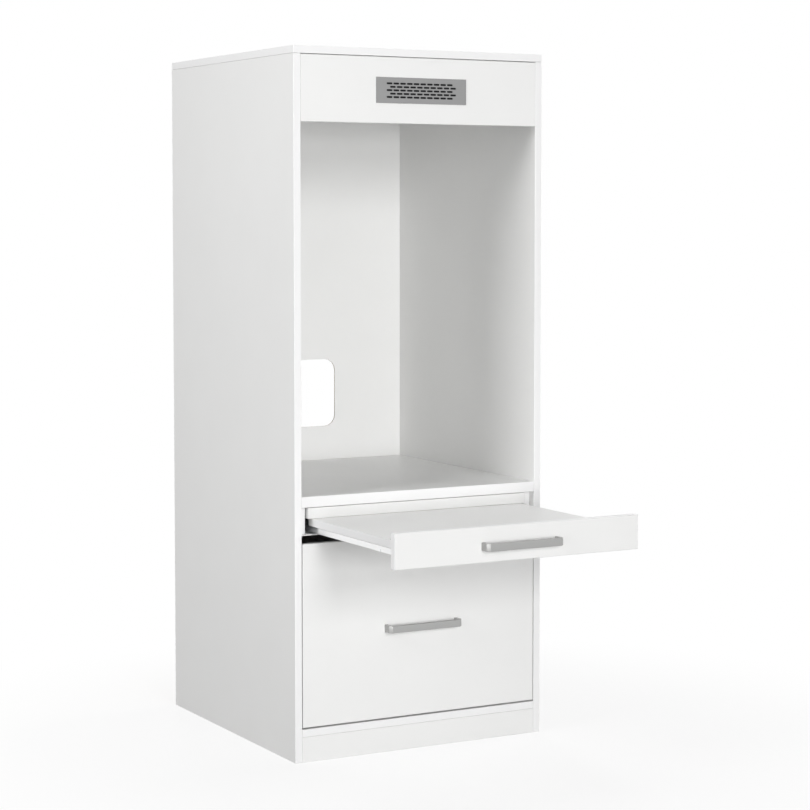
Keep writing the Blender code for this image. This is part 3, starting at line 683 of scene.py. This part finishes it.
class LAUNDRYTOWER_OT_grille(bpy.types.Operator):
    """Punch the stainless vent grille and fold its collar"""

    bl_idname = "laundry_tower.grille"
    bl_label = "Vent grille"

    def execute(self, context):
        s = sizes()
        self.low, self.high = box("vent_grille")
        self.middle = (self.low + self.high)[::2] / 2
        self.steel = brushed_metal("brushed_stainless_steel", palette().stainless, 0.46, 0.34)
        grids = [upright(cells + self.middle, self.low[1] + s.grille_sheet / 2)
                 for cells in self.plate()]
        sheet = make_piece("vent_grille_plate", grids, self.steel, "cabinet",
                           ["vent_grille"])
        thicken(sheet, s.grille_sheet, s.grille_edge)
        self.collar()
        return {"FINISHED"}

    def plate(self):
        """Gives the plate's cells: staggered rows of slots, half cells beside them, margins."""
        s = sizes()
        half = np.array([s.slot_pitch, s.slot_rise]) / 2
        row = np.arange(s.rows)
        up = ((s.rows - 1) / 2 - row) * s.slot_rise
        shift = (row % 2 - 0.5) * half[0]
        along = (np.arange(s.slots) - (s.slots - 1) / 2) * s.slot_pitch
        centres = np.stack(np.broadcast_arrays(along + shift[:, None], up[:, None]), -1)
        straight = (s.slot_length - s.slot_height) / 2
        cells = [slotted_cells(centres.reshape(-1, 2), half, straight, s.slot_height / 2)]
        field = np.array([(s.slots + 0.5) * half[0], s.rows * half[1]])
        # Even rows are shifted left and odd rows right, which leaves half a cell at one end
        gaps = np.where(row % 2 == 0, field[0] - half[0], -field[0])
        cells += [plain_cells((x, x + half[0]), (z - half[1], z + half[1]), (PLAIN_STEPS,) * 2)
                  for x, z in zip(gaps, up)]
        plate = (self.high - self.low)[::2] / 2
        columns = np.linspace(-field[0], field[0], 2 * s.slots + 2)
        rows = np.linspace(-field[1], field[1], s.rows + 1)
        left_right, down_up = (((-plate[k], -field[k]), (field[k], plate[k])) for k in (0, 1))
        cells += [plain_cells(columns, edge, (PLAIN_STEPS, MARGIN_STEPS)) for edge in down_up]
        cells += [plain_cells(edge, rows, (MARGIN_STEPS, PLAIN_STEPS)) for edge in left_right]
        cells += [plain_cells(a, b, (MARGIN_STEPS,) * 2) for a in left_right for b in down_up]
        return cells

    def collar(self):
        """Folds the collar, a rectangle with rounded corners drawn from the plate into the apron.

        Stretches the fly mesh inside it, a flat grid of points thickened on both sides.
        """
        s = sizes()
        back = self.low[1] + s.grille_sheet
        half = collar_half() - s.collar_wall / 2
        outline = rounded_outline(half[None], FOLD * s.collar_wall, SMALL_POINTS + 1)[0]
        grid = upright(outline + self.middle, np.array([[back], [self.high[1]]]))
        collar = make_piece("vent_grille_collar", [grid], self.steel, "cabinet")
        thicken(collar, s.collar_wall)
        x, z = half - s.collar_wall / 2 - s.mesh_play
        flat = plain_cells((-x, x), (-z, z), MESH_STEPS) + self.middle
        mesh = make_piece("vent_grille_fly_mesh",
                          [upright(flat, back + s.mesh_gap + s.mesh_wire / 2)],
                          fly_mesh("woven_blackened_wire"), "cabinet")
        thicken(mesh, s.mesh_wire)


def collar_half():
    """Gives half the collar's size in X and Z, from the CAD points behind the grille's plate."""
    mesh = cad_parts["vent_grille"].data
    points = np.empty(len(mesh.vertices) * 3)
    mesh.vertices.foreach_get("co", points)
    points = points.reshape(-1, 3)
    behind = points[points[:, 1] > box("vent_grille")[:, 1].mean()]
    return np.ptp(behind, 0)[::2] / 2


def handle_rails(low, high):
    """Gives the outer and the inner edge of a bar handle seen from above, station by station.

    Each is a straight leg, a corner, the straight bar, a corner and a leg. The outer corner is a
    facet at 45 degrees between two eighths of a circle, and the inner one a quarter circle.
    """
    s = sizes()
    foot, nose = high[1], low[1]
    ease, cut = s.handle_ease, s.handle_facet
    reach = ease * np.tan(np.pi / 8)
    first = arc(0, -0.5, EASE_POINTS) * ease + (-ease, cut + reach)
    last = arc(-0.5, -1, EASE_POINTS) * ease + (-cut - reach, ease)
    facet = first[-1] + (last[0] - first[-1]) * FACET_STATIONS
    outer = np.concatenate([first, facet, last])
    inner = (arc(0, -1, len(outer)) + (-1, 1)) * s.handle_inner_bend
    rails = []
    for half, front, corner in ((high[0], nose, outer),
                                (high[0] - s.handle_leg, nose + s.handle_bar, inner)):
        bend = corner + (half, front)
        leg = bend[0, 1] + (foot - bend[0, 1]) * LEG_STATIONS
        bar = bend[-1, 0] * BAR_STATIONS
        side = np.concatenate([np.stack([np.full(leg.shape, half), leg], -1), bend,
                               np.stack([bar, np.full(bar.shape, front)], -1)])
        rails.append(np.concatenate([side, side[-2::-1] * (-1, 1)]))
    return rails


class LAUNDRYTOWER_OT_handles(bpy.types.Operator):
    """Bend the satin nickel bar handles of the tray and the drawer"""

    bl_idname = "laundry_tower.handles"
    bl_label = "Bar handles"

    def execute(self, context):
        nickel = brushed_metal("satin_nickel_plate", palette().nickel, 0.4, 0.3)
        for prefix in MOVERS:
            low, high = box(prefix + "_handle")
            outer, inner = handle_rails(low, high)
            # A rounded rectangle from rail to rail, carried along them and closed at both ends
            across = (outer - inner) / 2
            thick = np.linalg.norm(across, axis=1)[:, None]
            half = np.concatenate([thick, np.full(thick.shape, (high[2] - low[2]) / 2)], 1)
            section = rounded_outline(half, sizes().handle_corner, SMALL_POINTS)
            flat = (outer + inner)[:, None] / 2 + section[..., :1] * (across / thick)[:, None]
            points = np.concatenate([flat, (low[2] + high[2]) / 2 + section[..., 1:]], -1)
            ends = np.broadcast_to(points[[0, -1], :-1].mean(1, keepdims=True),
                                   points[[0, -1]].shape)
            points = np.concatenate([ends[:1], points, ends[1:]])
            make_piece(prefix + "_handle_bar", [points], nickel, prefix,
                       [prefix + "_handle"], HANDLE_SMOOTH)
        return {"FINISHED"}


class Nest:
    """A slide's own places: u leaves the widest member's web, v runs across from its middle.

    The tray's nest is turned over, so its widest member moves and its u runs down.
    """

    def __init__(self, prefix, side, sign):
        s = sizes()
        self.prefix, self.side, self.sign = prefix, side, sign
        self.steel = getattr(s, prefix + "_steel")
        self.turned = prefix == "tray"
        self.order = ROLES[::-1] if self.turned else ROLES
        self.deep, self.wide = (2, 0) if self.turned else (0, 2)
        corners = self.box(self.order[0])
        self.face = corners[1, self.deep]
        self.centre = corners[:, self.wide].mean()
        self.narrow_reach = self.spread(self.order[3])[0] + s.cage_wall + s.member_gap
        self.ball_line = (self.narrow_reach + self.spread(self.order[0])[1]) / 2

    def node(self, role):
        """Gives a role's CAD node."""
        return f"{self.prefix}_slide_{role}_{self.side}"

    def body(self, role):
        """Gives the body that a role's pieces ride on."""
        return BODIES[ROLES.index(role)].format(self.prefix)

    def box(self, role):
        """Gives a role's corners as if it were on the right."""
        return np.sort(box(self.node(role)) * (self.sign, 1, 1), 0)

    def spread(self, role):
        """Gives a role's least u, greatest u, and half width."""
        low, high = self.box(role)
        return (self.face - high[self.deep], self.face - low[self.deep],
                self.centre - low[self.wide])

    def world(self, u, y, v):
        """Gives world points from u, y and v."""
        deep, wide = self.face - u, self.centre + v
        place = (wide, y, deep) if self.turned else (deep, y, wide)
        return np.stack(np.broadcast_arrays(*place), -1) * (self.sign, 1, 1)

    def swept(self, section, y):
        """Gives the grid of a (u, v) section carried along stations at y."""
        return self.world(section[:, 0], np.asarray(y)[:, None], section[:, 1])


def nests():
    """Gives both sides' nests of both slides."""
    return [Nest(prefix, side, sign) for prefix in MOVERS for side, sign in SIDES]


def hole_places(length):
    """Gives how far a slide member's holes lie from its front end."""
    s = sizes()
    number = int((length - s.punch_first - s.punch_pitch / 2) // s.punch_pitch) + 1
    return s.punch_first + s.punch_pitch * np.arange(number)


def rolled_corner(web, flange, bend, side, number):
    """Gives the quarter turn in (u, v) from a web to a flange that runs to one side of it."""
    turn = arc(-1, 0, number)
    return np.stack([web + side * bend * (1 + turn[:, 1]), flange - bend + bend * turn[:, 0]], -1)


def rolled_section(web, reach, half, dip, ball, hem):
    """Gives a rolled slide member's middle line in (u, v) from its web's centre to its lip.

    The web is straight, the corner a quarter turn, and the flange runs out to its lip. Over the
    ball it is raised by dip in a bell curve. A hem turns the lip in by a quarter turn.
    """
    side = np.sign(reach - web)
    flange = half - max(dip, 0)
    corner = rolled_corner(web, flange, sizes().slide_bend, side, TURN_POINTS)
    out = np.linspace(corner[-1, 0], reach - side * hem, FLANGE_POINTS)[1:]
    bell = np.exp(-((out - ball) / (BELL * abs(dip) + MERGE)) ** 2)
    lip = [np.stack([out, flange + dip * bell], -1)]
    if hem:
        turn = arc(1, 0, SMALL_POINTS)[1:]
        lip.append(np.stack([reach - side * hem * (1 - turn[:, 0]),
                             flange - hem + hem * turn[:, 1]], -1))
    return np.concatenate([[[web, 0.0]], corner] + lip)


def rolled_sheet(section, length):
    """Gives the grids of a punched sheet, flat in (y, s), rolled along a section, as u, y and v.

    s is the length along the section, so the flat sheet keeps its widths when it is rolled.
    Slotted cells run down the web and plain cells fill its ends. The flanges share their steps.
    """
    sz = sizes()
    run = np.concatenate([[0.0], np.linalg.norm(np.diff(section, axis=0), axis=1).cumsum()])
    web_half, pitch = run[1], sz.punch_pitch
    holes = hole_places(length)
    start = sz.punch_first - pitch / 2
    end = start + len(holes) * pitch
    centres = np.stack([holes, np.zeros(len(holes))], -1)
    flats = [slotted_cells(centres, (pitch / 2, web_half), sz.punch_slot, sz.punch_radius)]
    flats += [plain_cells(ends, (-web_half, web_half), (PLAIN_STEPS,) * 2)
              for ends in ((0, start), (end, length))]
    stations = np.concatenate([np.linspace(0, start, PLAIN_STEPS + 1),
                               np.linspace(start, end, CELL_STEPS[0] * len(holes) + 1)[1:],
                               np.linspace(end, length, PLAIN_STEPS + 1)[1:]])
    flats += [np.stack(np.meshgrid(stations, sign * run[1:], indexing="ij"), -1)
              for sign in (-1, 1)]
    for flat in flats:
        y, s = flat[..., 0], flat[..., 1]
        yield (np.interp(np.abs(s), run, section[:, 0]), y,
               np.sign(s) * np.interp(np.abs(s), run, section[:, 1]))


class LAUNDRYTOWER_OT_slides(bpy.types.Operator):
    """Roll and punch the members of the ball-bearing slides"""

    bl_idname = "laundry_tower.slides"
    bl_label = "Slide members"

    def execute(self, context):
        s = sizes()
        zinc = zinc_plate("bright_zinc_plate")
        coat = powder_coat("white_powder_coat")
        for nest in nests():
            for place in (0, 2, 4):
                role = nest.order[place]
                least, most, half = nest.spread(role)
                # The widest and the middle member open one way, and the narrowest opens back
                web, reach = (least, most) if place < 4 else (most, nest.narrow_reach)
                web += np.sign(reach - web) * nest.steel / 2
                coated = nest.turned and role == "moving_member"
                dip = 0 if coated else (s.ball_groove, 0, -s.ball_groove)[place // 2]
                section = rolled_section(web, reach, half - nest.steel / 2, dip, nest.ball_line,
                                         s.hem if coated else 0)
                low, high = nest.box(role)
                grids = [nest.world(u, low[1] + y, v)
                         for u, y, v in rolled_sheet(section, high[1] - low[1])]
                piece = make_piece(nest.node(role) + "_rolled", grids, coat if coated else zinc,
                                   nest.body(role),
                                   [nest.node(role)])
                thicken(piece, nest.steel)
            if nest.turned:
                self.foot(nest, zinc)
                self.clip(nest, zinc)
        return {"FINISHED"}

    def clip(self, nest, zinc):
        """Folds the tray slide's stop clip: a leg outside, a wrap under the edge, a leg inside."""
        s = sizes()
        _, edge, outer = nest.spread("moving_member")
        face = outer + s.clip_steel
        inner = face - s.clip_wrap
        turn = arc(0, 1, SMALL_POINTS) * s.clip_bend
        first = np.stack([edge + turn[:, 1], face - s.clip_bend + turn[:, 0]], -1)
        last = np.stack([edge + turn[:, 1], inner + s.clip_bend - turn[:, 0]], -1)[::-1]
        section = np.concatenate([[[edge - s.clip_leg, face]], first, last,
                                  [[edge - s.clip_wrap / 2, inner]]])
        front = nest.box("moving_member")[0, 1] + s.clip_place
        y = front + np.linspace(0, s.clip_width, SMALL_POINTS)
        piece = make_piece(nest.node("moving_member") + "_clip", [nest.swept(section, y)], zinc,
                           "tray")
        thicken(piece, s.clip_steel)

    def foot(self, nest, zinc):
        """Folds the angle that joins the tray slide's lowest member to the batten."""
        low, high = nest.box("cabinet_member")
        top, bottom, start = nest.spread("cabinet_member")
        web = bottom - nest.steel / 2
        plate = high[0] - nest.centre - nest.steel / 2
        bend = rolled_corner(web, plate, sizes().slide_bend, -1, TURN_POINTS)
        section = np.concatenate([[[web, start]], bend, [[top, plate]]])
        grid = nest.swept(section, np.linspace(low[1], high[1], FOOT_POINTS))
        piece = make_piece(nest.node("cabinet_member") + "_foot", [grid], zinc, "cabinet")
        thicken(piece, nest.steel)


class LAUNDRYTOWER_OT_cages(bpy.types.Operator):
    """Fold the ball cages and fill them with balls"""

    bl_idname = "laundry_tower.cages"
    bl_label = "Ball cages"

    def execute(self, context):
        s = sizes()
        steel = ball_steel("polished_ball_steel")
        for nest in nests():
            ball = getattr(s, nest.prefix + "_ball")
            for place in (1, 3):
                role = nest.order[place]
                name, body = nest.node(role), nest.body(role)
                least, most, half = nest.spread(role)
                track = half - ball / 2
                # A web between the two rows of balls, with an arm turned along each
                corner = rolled_corner(least + s.cage_wall / 2, track, FOLD * s.cage_wall, 1,
                                       SMALL_POINTS)
                section = np.concatenate([corner, [[most - s.cage_lip, track]]])
                section = np.concatenate([section[::-1] * (1, -1), section])
                front, back = nest.box(role)[:, 1]
                sheet = make_piece(name + "_strip", [nest.swept(section, (front, back))], steel,
                                   body, [name])
                thicken(sheet, s.cage_wall)
                rows = front + (back - front) * (np.arange(s.balls) + 0.5) / s.balls
                centres = nest.world(nest.ball_line, rows[:, None], np.array([-track, track]))
                make_piece(name + "_balls", [balls(centres.reshape(-1, 3), ball / 2)], steel,
                           body, smooth=np.pi)
        return {"FINISHED"}


def balls(centres, radius):
    """Gives balls: circles of latitude at each height, each turned through a full circle."""
    latitude, longitude = arc(-1, 1, BALL_POINTS[0])[:, None], arc(0, 4, BALL_POINTS[1])
    ring = latitude[..., :1] * longitude
    height = np.broadcast_to(latitude[..., 1:], ring[..., :1].shape)
    return centres[:, None, None] + radius * np.concatenate([ring, height], -1)


def screws(centres, outward, radius, rise, length):
    """Gives screws: rings that run from the head's middle over its rim and down the shank to a tip.

    Over a share of the head's radius the dome stands at rise x (1 - fall x share^2) x
    sqrt(1 - share^fullness). The cross is cut where a point lies near one of two crossed lines.
    """
    s = sizes()
    out = np.asarray(outward, float)
    side = np.cross(out, BACKWARD if out[2] else UPWARD)
    up = np.cross(side, out)
    share, turn = SCREW_RINGS, arc(0, 4, SCREW_POINTS)
    flat = radius * share[:, None, None] * turn
    dome = rise * (1 - DOME_FALL * share ** 2) * np.sqrt(1 - share ** DOME_FULLNESS)
    in_arm = np.clip(ARM_EDGE - np.abs(flat).min(-1) / s.recess_arm, 0, 1)
    in_reach = np.clip((CROSS_REACH - share) / CROSS_SLOPE, 0, 1)[:, None]
    height = dome[:, None] - min(s.recess, length) * in_arm * in_reach
    shank = min(s.shank_radius, radius)
    # The shank's top, its bottom and its tip, as radius and height
    below = np.array([(shank, 0), (shank, -length), (0, -length - shank)])
    flat = np.concatenate([flat, below[:, None, :1] * turn])
    height = np.concatenate([height, np.repeat(below[:, 1:], len(turn), 1)])
    screw = flat[..., :1] * side + flat[..., 1:] * up + height[..., None] * out
    return np.asarray(centres, float).reshape(-1, 1, 1, 3) + screw


def spots(node, x, y, z):
    """Gives points at shares of a node's box along X, Y and Z."""
    low, high = box(node)
    share = np.stack(np.meshgrid(x, y, z, indexing="ij"), -1).reshape(-1, 3)
    return low + (high - low) * share


class LAUNDRYTOWER_OT_screws(bpy.types.Operator):
    """Drive the screws of handles, slides, brackets and the drawer's front"""

    bl_idname = "laundry_tower.screws"
    bl_label = "Screws"

    def execute(self, context):
        s = sizes()
        self.zinc = zinc_plate("zinc_plated_screws")
        for prefix in MOVERS:
            for side, _ in SIDES:
                node = prefix + "_handle_screw_" + side
                tip, end = box(node)[:, 1]
                self.drive(node + "_turned", spots(node, 0.5, 1, 0.5), BACKWARD, prefix,
                           -s.screw_rise, end - s.screw_rise - tip - s.shank_radius, [node])
        for nest in nests():
            self.slide_screws(nest)
        steel = s.bracket_steel
        for side, sign in SIDES:
            flange = (1 + sign) / 2
            self.drive("wall_bracket_screws_" + side,
                       spots("wall_bracket_" + side, flange, BRACKET_DEPTH, PAIR),
                       (-sign, 0, 0), "cabinet", steel)
            angle = "tray_front_bracket_" + side
            self.drive("tray_bracket_board_screws_" + side, spots(angle, PAIR, LEG_DEPTH, 1),
                       DOWNWARD, "tray", steel)
            self.drive("tray_bracket_front_screws_" + side, spots(angle, PAIR, 0, LEG_RISE),
                       BACKWARD, "tray", steel)
        self.drive("drawer_front_screws", spots("drawer_inner_front", FRONT_ACROSS, 1, FRONT_UP),
                   BACKWARD, "drawer")
        return {"FINISHED"}

    def drive(self, name, places, outward, body, seat=0.0, length=None, replaced=(), flat=False):
        """Makes one piece of several like screws, seated above their places."""
        s = sizes()
        radius, rise = (s.punch_radius, s.flat_rise) if flat else (s.screw_radius, s.screw_rise)
        centres = places + np.array(outward) * seat
        grid = screws(centres, outward, radius, rise, length or s.shank)
        make_piece(name, [grid], self.zinc, body, replaced)

    def slide_screws(self, nest):
        """Drives the screws of one slide: flat ones in the narrow gaps and pan heads elsewhere."""
        low, high = nest.box("cabinet_member")
        holes = hole_places(high[1] - low[1])
        y = low[1] + holes[[0, len(holes) // 2, -1]]
        name = nest.node("cabinet_member") + "_screws"
        inward = (-nest.sign, 0, 0)
        if nest.turned:
            top, bottom, _ = nest.spread("cabinet_member")
            plate = high[0] - nest.centre - nest.steel
            self.drive(name, nest.world((top + bottom) / 2, y, plate), inward, "cabinet")
            return
        self.drive(name, nest.world(nest.steel, y, 0), inward, "cabinet", length=nest.steel,
                   flat=True)
        y += nest.box("moving_member")[0, 1] - low[1]
        u = nest.spread("moving_member")[1] - nest.steel
        self.drive(nest.node("moving_member") + "_screws", nest.world(u, y, 0),
                   (nest.sign, 0, 0), nest.prefix)


class LAUNDRYTOWER_OT_brackets(bpy.types.Operator):
    """Give the steel angles of the tray front and the wall fixing their zinc plate"""

    bl_idname = "laundry_tower.brackets"
    bl_label = "Steel brackets"

    def execute(self, context):
        paint(zinc_plate("zinc_plated_angles"),
              *(stem + side for stem in ("wall_bracket_", "tray_front_bracket_")
                for side, _ in SIDES))
        return {"FINISHED"}


def show_white(add, share, dull, white, output):
    """Shows white in place of a dull shader to a share of camera rays and to all mirror rays."""
    rays = add("LightPath", {}).node.outputs
    seen = add("Math", {0: share, 1: rays["Is Camera Ray"]}, operation="MULTIPLY")
    for name in ("Is Glossy Ray", "Is Transmission Ray"):
        seen = add("Math", {0: seen, 1: rays[name]}, operation="MAXIMUM")
    set_sockets(output, {"Surface": add("MixShader", {0: seen, 1: dull, 2: white})})


class LAUNDRYTOWER_OT_stage(bpy.types.Operator):
    """Set the floor, the soft lamps, the white surround and the camera"""

    bl_idname = "laundry_tower.stage"
    bl_label = "Stage"

    def execute(self, context):
        scene = context.scene
        stage = scene.laundry_tower_stage
        scene.view_settings.view_transform = "Standard"
        self.floor()
        self.surround(scene, stage.ambient)
        for name, (place, spread) in LAMPS.items():
            lamp = self.lamp(name + "_lamp", Vector(place), spread,
                             getattr(stage, name + "_power"))
            # Seen from behind, the top panel would mirror the high lamp and clip to white
            lamp.visible_glossy = name != "high"
        lens = bpy.data.cameras.new("camera")
        lens.sensor_width = stage.sensor
        lens.lens = stage.lens
        lens.shift_y = stage.rise
        camera = bpy.data.objects.new("camera", lens)
        camera.location = stage.camera_place
        camera.rotation_euler = (np.pi / 2 - stage.camera_tilt, 0, -stage.camera_turn)
        scene.collection.objects.link(camera)
        scene.camera = camera
        return {"FINISHED"}

    def lamp(self, name, place, spread, watts):
        """Hangs a soft square lamp that faces the middle of the cabinet."""
        light = bpy.data.lights.new(name, "AREA")
        light.size = spread
        light.energy = watts
        item = bpy.data.objects.new(name, light)
        middle = (CAD_BOUNDS[0] + CAD_BOUNDS[1]) / 2
        item.location = place
        item.rotation_euler = (place - middle).to_track_quat("Z", "Y").to_euler()
        bpy.context.scene.collection.objects.link(item)
        return item

    def floor(self):
        """Lays the floor: matt and pale, with a faint shadow, fading to plain white round it."""
        c, half = palette(), FLOOR_HALF
        mesh = bpy.data.meshes.new("floor")
        corners = [(-half, -half, 0), (half, -half, 0), (half, half, 0), (-half, half, 0)]
        mesh.from_pydata(corners, [], [(0, 1, 2, 3)])
        item = bpy.data.objects.new("floor", mesh)
        bpy.context.scene.collection.objects.link(item)
        item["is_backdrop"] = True
        material, shader, add, place = start_material("pale_floor")
        away = add("VectorMath", {0: place}, "Value", operation="LENGTH")
        fade = add("MapRange", {"Value": away, "From Min": FADE_START, "From Max": FADE_END},
                   interpolation_type="SMOOTHSTEP")
        glow = add("MapRange", {"Value": fade, "To Min": FLOOR_GLOW, "To Max": 1})
        seen = add("LightPath", {}, "Is Camera Ray")
        shade = add("Mix", {0: seen, 6: c.floor_bounce, 7: c.floor}, 2, data_type="RGBA")
        set_sockets(shader, {"Base Color": shade, "Roughness": 0.9, "Specular IOR Level": 0})
        show_white(add, glow, shader.outputs[0], add("Emission", {"Strength": 1}),
                   material.node_tree.nodes["Material Output"])
        mesh.materials.append(material)

    def surround(self, scene, ambient):
        """Sets a white surround that camera and mirror rays see, and a softer room light."""
        world = bpy.data.worlds.new("studio")
        scene.world = world
        world.use_nodes = True
        nodes = world.node_tree.nodes
        add = partial(add_node, world.node_tree)
        set_sockets(nodes["Background"], {"Color": WHITE, "Strength": ambient})
        white = add("Background", {"Color": WHITE, "Strength": 1})
        show_white(add, 1, nodes["Background"].outputs[0], white, nodes["World Output"])


OPERATORS = (
    LAUNDRYTOWER_OT_boards,
    LAUNDRYTOWER_OT_hardboards,
    LAUNDRYTOWER_OT_grille,
    LAUNDRYTOWER_OT_handles,
    LAUNDRYTOWER_OT_slides,
    LAUNDRYTOWER_OT_cages,
    LAUNDRYTOWER_OT_brackets,
    LAUNDRYTOWER_OT_screws,
    LAUNDRYTOWER_OT_stage,
)


class LAUNDRYTOWER_PT_panel(bpy.types.Panel):
    """The pieces in the order that they are made"""

    bl_label = "Laundry Tower"
    bl_space_type = "VIEW_3D"
    bl_region_type = "UI"
    bl_category = "Laundry Tower"

    def draw(self, context):
        for operator in OPERATORS:
            self.layout.operator(operator.bl_idname)


GROUPS = (
    ("laundry_tower_colours", LaundryTowerColours),
    ("laundry_tower_sizes", LaundryTowerSizes),
    ("laundry_tower_stage", LaundryTowerStage),
)


def register():
    """Registers the settings, the operators and the panel."""
    for name, group in GROUPS:
        bpy.utils.register_class(group)
        setattr(bpy.types.Scene, name, PointerProperty(type=group))
    for item in OPERATORS + (LAUNDRYTOWER_PT_panel,):
        bpy.utils.register_class(item)


def unregister():
    """Removes what register added."""
    for item in reversed(OPERATORS + (LAUNDRYTOWER_PT_panel,)):
        bpy.utils.unregister_class(item)
    for name, group in reversed(GROUPS):
        delattr(bpy.types.Scene, name)
        bpy.utils.unregister_class(group)


def main():
    """Makes every piece and the stage."""
    register()
    for operator in OPERATORS:
        group, name = operator.bl_idname.split(".")
        getattr(getattr(bpy.ops, group), name)()
    boxes = {"cad": CAD_BOUNDS, "visual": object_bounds()}
    {key: [list(corner) for corner in box] for key, box in boxes.items()}


if __name__ == "__main__":
    main()
